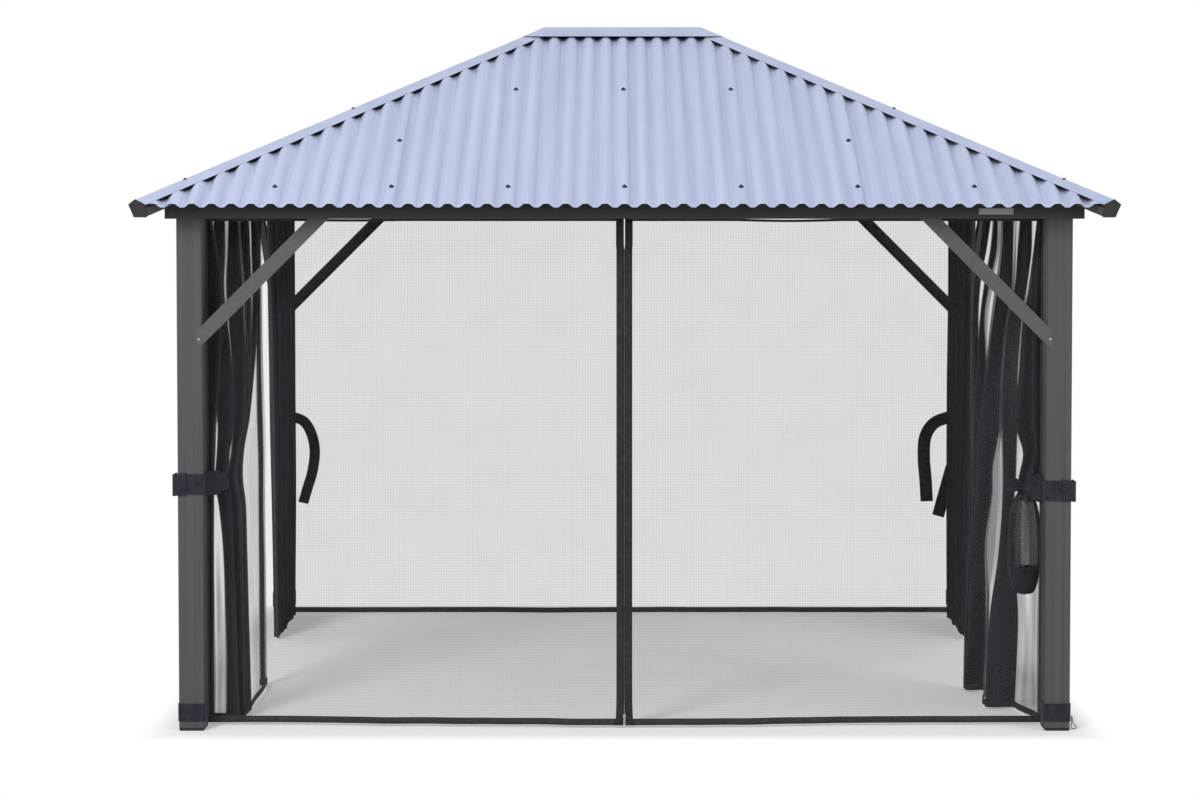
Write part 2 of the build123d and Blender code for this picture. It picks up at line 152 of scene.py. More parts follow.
# %% Let the floor turn into white outside the posts
shaded_half_x, shaded_half_y = 1.78, 1.48
white_between_posts = 0.28
floor_material = bpy.data.materials.new("pale_floor")
floor_material.use_nodes = True
nodes, links = floor_material.node_tree.nodes, floor_material.node_tree.links
nodes.clear()
out = nodes.new("ShaderNodeOutputMaterial")
pale = nodes.new("ShaderNodeBsdfDiffuse")
pale.inputs["Color"].default_value = (0.93, 0.93, 0.935, 1)
white = nodes.new("ShaderNodeEmission")
white.inputs["Strength"].default_value = 1
where = nodes.new("ShaderNodeTexCoord")
split = nodes.new("ShaderNodeSeparateXYZ")
links.new(where.outputs["Object"], split.inputs[0])
sides = []
for axis, half in (("X", shaded_half_x), ("Y", shaded_half_y)):
    share = arithmetic(nodes, links, "DIVIDE", split.outputs[axis], half)
    sides.append(arithmetic(nodes, links, "ABSOLUTE", share))
furthest = arithmetic(nodes, links, "MAXIMUM", *sides)
fade = rescaled(nodes, links, furthest, 0.985, 1.08, white_between_posts, 1, smooth=True)
blend = nodes.new("ShaderNodeMixShader")
links.new(arithmetic(nodes, links, "MULTIPLY", fade, seen_directly(nodes, links)), blend.inputs["Fac"])
links.new(pale.outputs[0], blend.inputs[1])
links.new(white.outputs[0], blend.inputs[2])
links.new(blend.outputs[0], out.inputs["Surface"])
floor_mesh.materials.append(floor_material)
print("floor and background are plain")

# %% [markdown]
# ## Finishes
# Each finish is a Principled shader whose colour comes from noise between two close tones.
# Most also have a bump for their grain. The noise is read from object coordinates, which are
# metres here, so a grain of 2 mm has a scale of 500. The nets read their UV map instead, so
# that their threads and streaks follow the folds.


# %% Start a finish
def finish(name, roughness, metallic=0.0, sheen=0.0, specular=0.5):
    material = bpy.data.materials.new(name)
    material.use_nodes = True
    shader = material.node_tree.nodes["Principled BSDF"]
    shader.inputs["Roughness"].default_value = roughness
    shader.inputs["Metallic"].default_value = metallic
    shader.inputs["Sheen Weight"].default_value = sheen
    shader.inputs["Specular IOR Level"].default_value = specular
    return material


def pattern(material, scale, stretch=(1, 1, 1), detail=3, coordinates="Object"):
    """Noise of that scale, stretched along each axis, as a value from 0 to 1."""
    nodes, links = material.node_tree.nodes, material.node_tree.links
    where = nodes.new("ShaderNodeTexCoord")
    stretched = nodes.new("ShaderNodeMapping")
    stretched.inputs["Scale"].default_value = stretch
    speckle = nodes.new("ShaderNodeTexNoise")
    speckle.inputs["Scale"].default_value = scale
    speckle.inputs["Detail"].default_value = detail
    links.new(where.outputs[coordinates], stretched.inputs["Vector"])
    links.new(stretched.outputs[0], speckle.inputs["Vector"])
    return speckle.outputs["Fac"]


def tones(material, value, dark, light, low=0.3, high=0.7):
    """Colour that runs from dark to light as the value goes from low to high."""
    nodes, links = material.node_tree.nodes, material.node_tree.links
    ramp = nodes.new("ShaderNodeValToRGB")
    ramp.color_ramp.elements[0].position = low
    ramp.color_ramp.elements[0].color = (*dark, 1)
    ramp.color_ramp.elements[1].position = high
    ramp.color_ramp.elements[1].color = (*light, 1)
    links.new(value, ramp.inputs["Fac"])
    links.new(ramp.outputs["Color"], nodes["Principled BSDF"].inputs["Base Color"])


def darker(material, value):
    """Multiplies the colour by the value."""
    nodes, links = material.node_tree.nodes, material.node_tree.links
    base = nodes["Principled BSDF"].inputs["Base Color"]
    product = nodes.new("ShaderNodeVectorMath")
    product.operation = "MULTIPLY"
    links.new(base.links[0].from_socket, product.inputs[0])
    links.new(value, product.inputs[1])
    links.new(product.outputs[0], base)


def grain(material, value, depth, strength=0.4):
    nodes, links = material.node_tree.nodes, material.node_tree.links
    bump = nodes.new("ShaderNodeBump")
    bump.inputs["Distance"].default_value = depth
    bump.inputs["Strength"].default_value = strength
    links.new(value, bump.inputs["Height"])
    links.new(bump.outputs[0], nodes["Principled BSDF"].inputs["Normal"])


def ranged(material, value, low, high, to_low, to_high, socket):
    """Sends the value to a socket of the shader, moved from one range into another."""
    nodes, links = material.node_tree.nodes, material.node_tree.links
    moved = rescaled(nodes, links, value, low, high, to_low, to_high)
    links.new(moved, nodes["Principled BSDF"].inputs[socket])


# %% [markdown]
# The frame has a dark grey powder coating: matt, with a fine orange-peel grain, and on posts
# and beams faint streaks along their length. The beams have the same coating, but their tones
# are painted much darker than those of the posts and braces, as painted shade from the eaves.


# %% Powder coatings
def powder_coat(name, dark, light, stretch):
    coat = finish(name, 0.55, specular=0.3)
    tones(coat, pattern(coat, 60, stretch), dark, light)
    grain(coat, pattern(coat, 900), 0.0006)
    ranged(coat, pattern(coat, 14), 0.3, 0.7, 0.46, 0.6, "Roughness")
    return coat


post_coat = powder_coat("powder_coat_posts", (0.06, 0.057, 0.0635), (0.0735, 0.07, 0.0765), (1, 1, 0.02))
brace_coat = powder_coat("powder_coat_braces", (0.074, 0.074, 0.081), (0.089, 0.089, 0.096), (1, 1, 1))
# Painted shade: the beams' tones are far darker than the posts', for the shade under the eaves. The net rails share
# them.
shaded_beam_coat = powder_coat("powder_coat_beams_painted_shade", (0.017, 0.015, 0.015), (0.023, 0.0205, 0.0205), (0.02, 0.02, 1))
rafter_coat = powder_coat("powder_coat_roof_frame", (0.05, 0.047, 0.047), (0.066, 0.062, 0.062), (1, 1, 1))

# %% [markdown]
# The eaves keep the upper half of a beam in shade. These soft lamps show that too weakly, so
# the beams' colour is also made darker towards the top, by height. The gradient stands for
# that shade, and the real coating doesn't have it.

# %% Shade the beams by height
shade_top, shade_foot = 2.085, 2.015
nodes, links = shaded_beam_coat.node_tree.nodes, shaded_beam_coat.node_tree.links
beam_where = nodes.new("ShaderNodeTexCoord")
beam_split = nodes.new("ShaderNodeSeparateXYZ")
links.new(beam_where.outputs["Object"], beam_split.inputs[0])
darker(shaded_beam_coat, rescaled(nodes, links, beam_split.outputs["Z"], shade_top, shade_foot, 0.45, 1.9, smooth=True))
print("powder coatings made")

# %% [markdown]
# The roof sheets are coated steel in a pale blue grey. Rolling leaves long faint streaks
# down the slope, so the noise is stretched: along Y on the front and rear faces, and along X
# on the two ends. Shade is painted where sheets come close to each other: in the valleys,
# and in the narrow gap under the edge of a cover. An ambient occlusion node that looks 45 mm
# around darkens the coating there as painted shade, more than these soft lamps would alone.


# %% Roof coating
def roof_coat(name, stretch, depth=1.0):
    coat = finish(name, 0.42, metallic=0.15)
    streaks = pattern(coat, 26, stretch, detail=5)
    dark = [depth * tone for tone in (0.42, 0.475, 0.66)]
    light = [depth * tone for tone in (0.52, 0.58, 0.78)]
    tones(coat, streaks, dark, light, 0.25, 0.75)
    nodes, links = coat.node_tree.nodes, coat.node_tree.links
    # Painted shade: ambient occlusion darkens the colour where sheets come close.
    painted_crevice_shade = nodes.new("ShaderNodeAmbientOcclusion")
    painted_crevice_shade.samples = 8
    painted_crevice_shade.inputs["Distance"].default_value = 0.045
    darker(coat, rescaled(nodes, links, painted_crevice_shade.outputs["AO"], 0.35, 0.9, 0.12, 1))
    grain(coat, pattern(coat, 40, stretch), 0.001, 0.15)
    ranged(coat, pattern(coat, 9), 0.3, 0.7, 0.36, 0.5, "Roughness")
    return coat


roof_along_y = roof_coat("roof_coat_front_and_rear", (1, 0.03, 0.03))
roof_along_x = roof_coat("roof_coat_ends", (0.03, 1, 0.03))
# The covers take the same coating with tones 7 % darker, as painted shade.
shaded_cover_coat = roof_coat("roof_coat_covers_painted_shade", (0.3, 0.3, 0.3), 0.93)

# %% [markdown]
# Feet and end caps are moulded plastic with a fine spark-eroded grain. The ties are woven
# webbing, and their ribs come from a wave texture about 2 mm apart.


# %% Moulded plastic and webbing
def moulding(name, dark, light):
    plastic = finish(name, 0.62, specular=0.2)
    tones(plastic, pattern(plastic, 30), dark, light)
    grain(plastic, pattern(plastic, 1200), 0.0005, 0.5)
    return plastic


moulded = moulding("moulded_plastic", (0.021, 0.019, 0.0175), (0.03, 0.027, 0.025))
foot_plastic = moulding("moulded_foot", (0.018, 0.017, 0.018), (0.025, 0.0235, 0.025))


def woven(name, dark, light):
    cloth = finish(name, 0.85, sheen=0.06, specular=0.25)
    nodes, links = cloth.node_tree.nodes, cloth.node_tree.links
    where = nodes.new("ShaderNodeTexCoord")
    ribs = nodes.new("ShaderNodeTexWave")
    ribs.bands_direction = "DIAGONAL"
    ribs.inputs["Scale"].default_value = 160
    ribs.inputs["Distortion"].default_value = 0.6
    links.new(where.outputs["Object"], ribs.inputs["Vector"])
    tones(cloth, pattern(cloth, 45), dark, light)
    grain(cloth, ribs.outputs["Fac"], 0.0008, 0.5)
    return cloth


webbing = woven("tie_webbing", (0.011, 0.012, 0.018), (0.024, 0.026, 0.036))
hem_cloth = woven("net_hem", (0.022, 0.023, 0.028), (0.04, 0.042, 0.049))
zip_cloth = woven("zip_tape", (0.014, 0.015, 0.019), (0.026, 0.027, 0.034))
print("plastic and webbing made")

# %% [markdown]
# The nets are sheer: most of the light goes straight through. Real mesh has holes of a
# millimetre or two, which would flicker at this distance, so the shader's alpha carries the
# mesh. It is a little higher on the threads of a coarse grid, which is what the eye picks
# out. Where a net is gathered, several layers lie together, so its alpha is higher and runs
# in streaks along the folds.

# %% Net that hangs flat
hung_net = finish("sheer_net", 0.8, specular=0.2)
nodes, links = hung_net.node_tree.nodes, hung_net.node_tree.links
thread_where = nodes.new("ShaderNodeTexCoord")
thread_split = nodes.new("ShaderNodeSeparateXYZ")
links.new(thread_where.outputs["UV"], thread_split.inputs[0])


def threads(nodes, links, axis, spacing):
    """1 on the thread lines across that axis of the cloth, and 0 between them."""
    turns = arithmetic(nodes, links, "MULTIPLY", thread_split.outputs[axis], 2 * math.pi / spacing)
    return rescaled(nodes, links, arithmetic(nodes, links, "COSINE", turns), 0.3, 1)


grid = arithmetic(nodes, links, "MAXIMUM", threads(nodes, links, "X", 0.0112), threads(nodes, links, "Y", 0.0108))
cloudy = arithmetic(nodes, links, "MULTIPLY_ADD", pattern(hung_net, 5, coordinates="UV"), 0.8, grid)
ranged(hung_net, cloudy, 0, 1.6, 0.1, 0.235, "Alpha")
tones(hung_net, pattern(hung_net, 30, coordinates="UV"), (0.03, 0.032, 0.037), (0.045, 0.047, 0.054))


# %% Net that is gathered
def gathered(name, thin, thick, low=0.4, high=0.52):
    """thin and thick: the alpha between the streaks and on them."""
    net = finish(name, 0.75, sheen=0.08, specular=0.2)
    streaks = pattern(net, 9, (1, 0.06, 1), detail=3, coordinates="UV")
    ranged(net, streaks, low, high, thin, thick, "Alpha")
    tones(net, pattern(net, 6, (1, 0.1, 1), coordinates="UV"), (0.012, 0.0135, 0.018), (0.042, 0.045, 0.056))
    return net


gathered_net = gathered("gathered_net", 0.72, 0.96, 0.42, 0.56)
dense_net = gathered("folded_net", 0.88, 0.99)
single_net = gathered("single_net", 0.22, 0.75, 0.44, 0.58)
loose_net = gathered("loose_net", 0.1, 0.36, 0.44, 0.6)
print("nets made")

# %% [markdown]
# Screws are zinc or blackened steel. The small plate on the front beam is brushed and bare.

# %% Metals
dark_steel = finish("blackened_steel", 0.4, metallic=0.7)
tones(dark_steel, pattern(dark_steel, 300), (0.02, 0.022, 0.026), (0.06, 0.062, 0.07))
zinc = finish("zinc", 0.35, metallic=0.9)
tones(zinc, pattern(zinc, 300), (0.3, 0.3, 0.31), (0.5, 0.5, 0.52))
grain(zinc, pattern(zinc, 500), 0.0004, 0.3)
plate_metal = finish("brushed_plate", 0.38, metallic=0.5)
tones(plate_metal, pattern(plate_metal, 80, (0.05, 1, 1)), (0.16, 0.15, 0.135), (0.26, 0.25, 0.23))
grain(plate_metal, pattern(plate_metal, 200, (0.03, 1, 1)), 0.0004, 0.5)

# %% [markdown]
# ## Finish the CAD parts
# The CAD shapes of the frame and roof are right as they are, so they only get their
# finishes. On the roof sheets, folds of less than 60 degrees are shaded as rounded, because
# real sheet bends round a radius there. Where a piece made below replaces a CAD part, that
# part is hidden, so its finish here is only for completeness.

# %% Give each CAD part its finish
finishes = {
    "post_feet": foot_plastic,
    "post_ties": webbing,
    "post_": post_coat,
    "foot_straps": webbing,
    "loose_ties": webbing,
    "beam_end_caps": moulded,
    "beam_": shaded_beam_coat,
    "braces_": brace_coat,
    "net_rails": shaded_beam_coat,
    "hip_end_caps": moulded,
    "hip_cover": shaded_cover_coat,
    "ridge_cap": shaded_cover_coat,
    "roof_sheet_front": roof_along_y,
    "roof_sheet_rear": roof_along_y,
    "roof_sheet_left": roof_along_x,
    "roof_sheet_right": roof_along_x,
    "hip_rafter": rafter_coat,
    "jack_rafters": rafter_coat,
    "purlins": rafter_coat,
    "eave_battens": rafter_coat,
    "ridge_beam": rafter_coat,
    "net_": hung_net,
    "side_net": gathered_net,
    "zip_front": zip_cloth,
}
for node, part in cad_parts.items():
    coat = next(finishes[start] for start in finishes if node.startswith(start))
    part.data.materials.clear()
    part.data.materials.append(coat)
print(len(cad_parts), "CAD parts finished")


# %% Round the shading of the folds
def round_folds(part, widest=math.radians(60)):
    mesh = part.data
    around = {}
    for face in mesh.polygons:
        for corner in face.vertices:
            key = tuple(round(c, 5) for c in mesh.vertices[corner].co)
            around.setdefault(key, []).append(face)
    normals = []
    for face in mesh.polygons:
        for corner in face.vertices:
            key = tuple(round(c, 5) for c in mesh.vertices[corner].co)
            near = [f for f in around[key] if f.normal.angle(face.normal, 0) < widest]
            normals.append(sum((f.normal * f.area for f in near), Vector()).normalized())
        face.use_smooth = True
    mesh.normals_split_custom_set(normals)


for node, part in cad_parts.items():
    if node.startswith("roof_sheet"):
        round_folds(part)

# %% [markdown]
# ## Screws
# Roof sheets are held by screws through their ridges, in rows over the eave batten and the
# purlin. A screw is a domed washer with a hexagonal head. One bmesh holds all the screws of
# a face, so each face of the roof has one object of screws.

# %% Roof measures that the screws need
pitch = math.radians(26.5)
eave_out = {"front": 1.556, "rear": 1.556, "left": 1.906, "right": 1.906}
outward = {"front": (0, -1, 0), "rear": (0, 1, 0), "left": (-1, 0, 0), "right": (1, 0, 0)}
eave_level = 2.068
ridge_step = 0.076
crest_rise = 0.0168


def on_roof(face, along, inward, rise=crest_rise):
    """A point above one face of the roof, and the direction square to that face."""
    away = Vector(outward[face])
    side = Vector((-away.y, away.x, 0))
    square = away * math.sin(pitch) + Vector((0, 0, math.cos(pitch)))
    foot = away * (eave_out[face] - inward) + Vector((0, 0, eave_level + inward * math.tan(pitch)))
    return foot + side * along + square * rise, square


# %% A helper for pieces made from rings of points
def revolve(shape, place, square, profile, sides=16):
    """Turns a profile of (radius, height) points round the direction square, at place."""
    turn = square.to_track_quat("Z", "Y").to_matrix().to_4x4()
    turn.translation = place
    rings = []
    for radius, height in profile:
        ring = []
        for k in range(sides):
            angle = 2 * math.pi * k / sides
            ring.append(shape.verts.new(turn @ Vector((radius * math.cos(angle), radius * math.sin(angle), height))))
        rings.append(ring)
    for low, high in zip(rings, rings[1:]):
        for k in range(sides):
            shape.faces.new((low[k], low[(k + 1) % sides], high[(k + 1) % sides], high[k]))
    shape.faces.new(list(reversed(rings[0])))
    shape.faces.new(rings[-1])


def piece_from(shape, name, material):
    mesh = bpy.data.meshes.new(name)
    shape.to_mesh(mesh)
    shape.free()
    return placed(mesh, name, material)


def placed(mesh, name, material):
    piece = bpy.data.objects.new(name, mesh)
    scene.collection.objects.link(piece)
    mesh.materials.append(material)
    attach(piece, "root")
    return piece


def roof_screw(shape, place, square):
    revolve(shape, place, square, ((0.0105, -0.0005), (0.0105, 0.001), (0.0085, 0.003), (0.006, 0.0036)), 20)
    revolve(shape, place, square, ((0.0055, 0.003), (0.0055, 0.0075), (0.0045, 0.0085)), 6)


# %% Set the roof screws
rows = {
    "front": [(0, 0.131), (6, 0.131), (12, 0.131), (18, 0.131), (0, 0.966), (6, 0.966), (12, 0.509)],
    "left": [(0, 0.131), (6, 0.131), (12, 0.131), (0, 0.966), (6, 0.966), (12, 0.509)],
}
rows["rear"] = rows["front"]
rows["right"] = rows["left"]
for face, spots in rows.items():
    shape = bmesh.new()
    for step, inward in spots:
        for way in (-1, 1) if step else (1,):
            place, square = on_roof(face, way * step * ridge_step, inward)
            roof_screw(shape, place, square)
    piece_from(shape, f"roof_screws_{face}", dark_steel)

cover_rise = 0.0225
shape = bmesh.new()
for way_x in (-1, 1):
    for way_y in (-1, 1):
        for back in (0.177, 0.777):
            x, y = way_x * (eave_out["left"] - back), way_y * (eave_out["front"] - back)
            crown = Vector((x, y, eave_level + back * math.tan(pitch) + cover_rise))
            revolve(shape, crown, Vector((0, 0, 1)), ((0.007, -0.003), (0.007, 0.002), (0.004, 0.0045)), 12)
piece_from(shape, "hip_cover_screws", dark_steel)
print("screws on all four faces")

# %% [markdown]
# Each brace is held by one pan-head screw where it laps over the post, and each end of the
# front and rear beams by two smaller ones. They give the joints their scale.


# %% Set the frame's screws
def pan_head(shape, place, square, radius=0.006):
    revolve(shape, place, square, ((radius, -0.001), (radius, 0.0015), (radius * 0.7, 0.0034), (0.001, 0.0038)), 16)


post_top, brace_drop = 2.023, 0.457
low = post_top - brace_drop
shape = bmesh.new()
for way_x in (-1, 1):
    for way_y in (-1, 1):
        pan_head(shape, Vector((way_x * 1.673, way_y * 1.4122, low - 0.016)), Vector((0, way_y, 0)))
        pan_head(shape, Vector((way_x * 1.7622, way_y * 1.323, low - 0.016)), Vector((way_x, 0, 0)))
piece_from(shape, "brace_screws", zinc)

shape = bmesh.new()
for way_x in (-1, 1):
    for way_y in (-1, 1):
        for across in (1.755, 1.682):
            pan_head(shape, Vector((way_x * across, way_y * 1.4452, 2.0505)), Vector((0, way_y, 0)), 0.005)
piece_from(shape, "beam_screws", dark_steel)

# %% [markdown]
# A small metal plate is riveted to the front beam. It is left bare: a brushed strip with
# a bevelled edge and a rivet at each end.


# %% Fix the bare plate
def block(shape, middle, sides):
    bmesh.ops.create_cube(shape, size=1, matrix=Matrix.Translation(middle) @ Matrix.Diagonal((*sides, 1)))


shape = bmesh.new()
block(shape, (1.452, -1.4462, 2.052), (0.136, 0.0016, 0.024))
bmesh.ops.bevel(shape, geom=shape.edges[:], offset=0.0006, segments=2, affect="EDGES")
for across in (1.392, 1.512):
    pan_head(shape, Vector((across, -1.447, 2.052)), Vector((0, -1, 0)), 0.0028)
piece_from(shape, "bare_plate", plate_metal)
print("plate fixed")

# %% [markdown]
# ## Nets that hang flat
# Front and rear are closed by two nets each. A net is cut 2 m high and hangs from runners in
# its rail. It isn't taut: it dips between the runners and bellies a little. Its lower edge
# ends a centimetre above the ground, and that of the front nets stands slightly outward. So
# a cloth is a grid whose points are placed by a small function, which says where a point of
# the flat cloth hangs.


# %% Make a cloth from a placing function
def cloth(name, place, columns, rows, flat, span=(0, 1, 0, 1)):
    """A grid of points over part of a flat cloth. Its UV map is in metres of cloth."""
    shape = bmesh.new()
    uv = shape.loops.layers.uv.new("weave")
    left, right, top, bottom = span
    grid = []
    for j in range(rows + 1):
        line = []
        for i in range(columns + 1):
            across = left + (right - left) * i / columns
            down = top + (bottom - top) * j / rows
            point = shape.verts.new(place(across, down))
            line.append((point, (across * flat[0], down * flat[1])))
        grid.append(line)
    for j in range(rows):
        for i in range(columns):
            corners = (grid[j][i], grid[j + 1][i], grid[j + 1][i + 1], grid[j][i + 1])
            face = shape.faces.new([point for point, _ in corners])
            face.smooth = True
            for loop, (_, where) in zip(face.loops, corners):
                loop[uv].uv = where
    mesh = bpy.data.meshes.new(name)
    shape.to_mesh(mesh)
    shape.free()
    return mesh


def thicken(piece, thickness):
    solid = piece.modifiers.new("thickness", "SOLIDIFY")
    solid.thickness = thickness
    solid.offset = 0
    return piece


# %% Say where a hanging net lies
net_top = 2.0226
net_height = 2.012
net_line_y = 1.297
net_reach_x = 1.68


def hang_place(x_start, x_end, way_y, lean):
    """Where a point of a hanging net lies: x from start to end, way_y 1 is the rear."""

    def place(across, down):
        x = x_start + (x_end - x_start) * across
        drop = net_height * down
        dip = 0.006 * max(0, noise.noise(Vector((x * 2.3, 0, 4)))) * max(0, 1 - 8 * down)
        free = 1 - min(1, abs(x) / net_reach_x) ** 4
        belly = 0.016 * free * noise.noise(Vector((x * 1.7, down * 1.1, way_y * 3.1)))
        ripple = 0.006 * free * noise.noise(Vector((x * 7, down * 0.8, way_y * 5 + 2))) * (0.4 + down)
        away = lean(x) * down ** 3
        return Vector((x, way_y * (net_line_y + belly + ripple + away), net_top - dip - drop))

    return place


def front_lean(x):
    return 0.06 * math.exp(-((x / 0.9) ** 2))


def rear_lean(x):
    return 0.0


# %% Hang the front and rear nets
nets = []
for name, start, end, way_y, lean in (
    ("net_front_left", -net_reach_x, -0.028, -1, front_lean),
    ("net_front_right", 0.028, net_reach_x, -1, front_lean),
    ("net_rear_left", -net_reach_x, -0.001, 1, rear_lean),
    ("net_rear_right", 0.001, net_reach_x, 1, rear_lean),
):
    place = hang_place(start, end, way_y, lean)
    flat = (end - start, net_height)
    net = placed(cloth(name + "_mesh", place, 70, 60, flat), name + "_cloth", hung_net)
    post_side = (0, 0.015, 0, 1) if start < -1 else (0.985, 1, 0, 1)
    hems = {"top": (0, 1, 0, 0.005), "foot": (0, 1, 0.987, 1.0), "post": post_side}
    for hem, span in hems.items():
        fine = (2, 60) if hem == "post" else (70, 2)
        strip = cloth(f"{name}_{hem}_hem", place, *fine, flat, span)
        thicken(placed(strip, f"{name}_{hem}_hem", hem_cloth), 0.0022)
    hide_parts(name)
    nets.append(net)
print(len(nets), "flat nets hung")

# %% [markdown]
# The front is closed by a zip: two woven tapes, a chain of small teeth between them, and a
# metal slider with a puller, which hangs at the bottom. The tapes are 31.1 mm wide as
# modelled and 29.3 mm as declared. Their top 12 cm and their feet stand a few millimetres
# apart.


# %% Sew in the zip
def zip_place(start, end):
    hang = hang_place(start, end, -1, front_lean)

    def place(across, down):
        point = hang(across, down)
        side = 1 if start + end > 0 else -1
        apart = 0.0016 * min(1, max(0, (0.058 - down) / 0.004)) + 0.004 * max(0, (down - 0.93) / 0.07) ** 2
        return point + Vector((side * apart, -0.002, 0))

    return place


for side, start, end in (("left", -0.0315, -0.0004), ("right", 0.0004, 0.0315)):
    strip = cloth(f"zip_tape_{side}", zip_place(start, end), 4, 80, (abs(end - start), net_height))
    tape = thicken(placed(strip, f"zip_tape_{side}", zip_cloth), 0.0018)

teeth = bmesh.new()
middle = hang_place(-0.0001, 0.0001, -1, front_lean)
pitch_of_teeth = 0.005
first_closed = 0.06
for k in range(int(net_height * (1 - first_closed) / pitch_of_teeth)):
    spot = middle(0.5, first_closed + k * pitch_of_teeth / net_height) + Vector((0, -0.003, 0))
    block(teeth, spot, (0.0052, 0.0022, 0.0034))
chain = piece_from(teeth, "zip_teeth", zip_cloth)
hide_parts("zip_front")

slider = bmesh.new()
slider_at = middle(0.5, 0.982) + Vector((0, -0.006, 0))
puller_at = slider_at + Vector((0.001, -0.004, -0.014))
block(slider, slider_at, (0.011, 0.005, 0.014))
block(slider, puller_at, (0.006, 0.0016, 0.022))
bmesh.ops.bevel(slider, geom=slider.edges[:], offset=0.0007, segments=2, affect="EDGES")
piece_from(slider, "zip_slider", zinc)
print("zip sewn in")

# %% [markdown]
# ## Side nets
# The sides stand open. Each side has two nets. The rear ones hang in close pleats beside
# their posts. The front ones are tied to their posts at hand height, so they are drawn into
# strands: dense ropes of folds that slant from the rail to the tie and go on below it, with
# a single layer of net between two strands, which lets the light through. A cloth
# simulation would choose its own folds, so here code places the ones that show.


# %% Smooth curves through measures taken at fixed heights
def through(levels, values, z):
    """The value at height z, on a smooth curve through values at falling levels."""
    k = 0
    while k + 2 < len(levels) and z < levels[k + 1]:
        k += 1
    span = levels[k] - levels[k + 1]
    t = min(1, max(0, (levels[k] - z) / span))
    a, b = values[k], values[k + 1]
    start = (b - values[k - 1]) / (levels[k - 1] - levels[k + 1]) * span if k else b - a
    end = (values[k + 2] - a) / (levels[k] - levels[k + 2]) * span if k + 2 < len(levels) else b - a
    return (
        a * (1 + 2 * t) * (1 - t) ** 2 + start * t * (1 - t) ** 2 + b * t * t * (3 - 2 * t) + end * t * t * (t - 1)
    )


# %% [markdown]
# The rear nets keep their cloth. Where a net of 1.3 m is squeezed into less, the rest goes
# into the depth of its pleats: with n pleats, each has cloth / n of width to use, and the
# narrower it stands the deeper it is.


# %% Place a pleated net
foot_level = 0.009
side_rail_x = 1.648
post_side_y = 1.286


def pleated_place(way_x, levels, pleats, width, seed):
    """levels: height, start from the post, reach from there, both along the rail."""
    heights, starts, reaches = zip(*levels)

    def place(across, down):
        z = net_top - (net_top - foot_level) * down
        start, reach = through(heights, starts, z), through(heights, reaches, z)
        cloth_of_pleat = width / pleats
        stands = min(reach / pleats, 0.97 * cloth_of_pleat)
        depth = math.sqrt(cloth_of_pleat**2 - stands**2) / 4
        uneven = min(1, max(0, across + 0.04 * noise.noise(Vector((across * 3.3, down * 0.9, seed)))))
        phase = 2 * math.pi * pleats * uneven
        soft = 0.8 + 0.5 * noise.noise(Vector((across * 9, down * 1.6, seed + 7)))
        sway = 0.006 * noise.noise(Vector((across * 3, down * 2.5, seed + 13)))
        x = side_rail_x + depth * soft * math.sin(phase) + sway
        y = post_side_y - start - reach * uneven - 0.3 * depth * math.sin(2 * phase)
        return Vector((way_x * min(x, 1.672), y, z))

    return place


# %% [markdown]
# A front net is a row of strands. A table gives each strand's depth, its outer and its inner
# edge in millimetres at twelve heights. The edges were measured in the photograph's front
# view. One photograph can't show depths, so those were chosen. Between the edges the
# cloth goes to and fro in a few layers, and a share of it spans the gap to the next strand.

# %% Place a net that is drawn into strands
fold_levels = (2.02, 1.88, 1.74, 1.6, 1.4, 1.2, 1.08, 0.97, 0.86, 0.66, 0.4, 0.01)
gap = 0.4
strand_depth = 0.05


def strand_place(way_x, strands, layers, seed, bottom, sheer_from):
    """strands: for each its depths, outer edges and inner edges in mm, at the fold levels.
    From strand number sheer_from on, the cloth hangs in too few folds to look dark."""
    one = 1 / (len(strands) + gap * (len(strands) - 1))

    def edges(k, z):
        return [through(fold_levels, column, z) / 1000 for column in strands[k]]

    def place(across, down):
        z = net_top - (net_top - bottom) * down
        k = min(int(across / one / (1 + gap)), len(strands) - 1)
        t = across / one - k * (1 + gap)
        y, outer, inner = edges(k, z)
        crumple = 0.004 * noise.noise(Vector((across * 40, down * 5, seed)))
        if t <= 1:
            soft = 0.92 + 0.3 * noise.noise(Vector((across * 12, down * 3, seed + 5)))
            x = (outer + inner) / 2 + (outer - inner) / 2 * soft * math.cos(math.pi * layers * t)
            y += strand_depth * t + 0.006 * math.sin(2 * math.pi * layers * t)
        else:
            s = (t - 1) / gap
            next_y, next_outer, _ = edges(k + 1, z)
            x = inner + (next_outer - inner) * s * s * (3 - 2 * s)
            y += strand_depth + (next_y - y - strand_depth) * s
        return Vector((way_x * min(x + crumple, 1.671), y + crumple, z))

    def material_at(across):
        """0 in a strand, 1 between two, and 2 in the part that hangs loose."""
        spot = across / one
        if spot > sheer_from * (1 + gap) - gap:
            return 2
        return 0 if spot % (1 + gap) <= 1 else 1

    return place, material_at


# %% A helper that hangs a side net with its hems
def side_net(name, node, place, columns, rows, flat, material, hem_spans, material_at=None):
    net = placed(cloth(name + "_mesh", place, columns, rows, flat), name, material)
    if material_at:
        net.data.materials.append(single_net)
        net.data.materials.append(loose_net)
        for k, face in enumerate(net.data.polygons):
            face.material_index = material_at((k % columns + 0.5) / columns)
    for hem, span in hem_spans.items():
        fine = (columns, 2) if hem == "foot" else (2, rows)
        strip = cloth(f"{name}_{hem}_hem", place, *fine, flat, span)
        thicken(placed(strip, f"{name}_{hem}_hem", hem_cloth), 0.002)
    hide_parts(node)


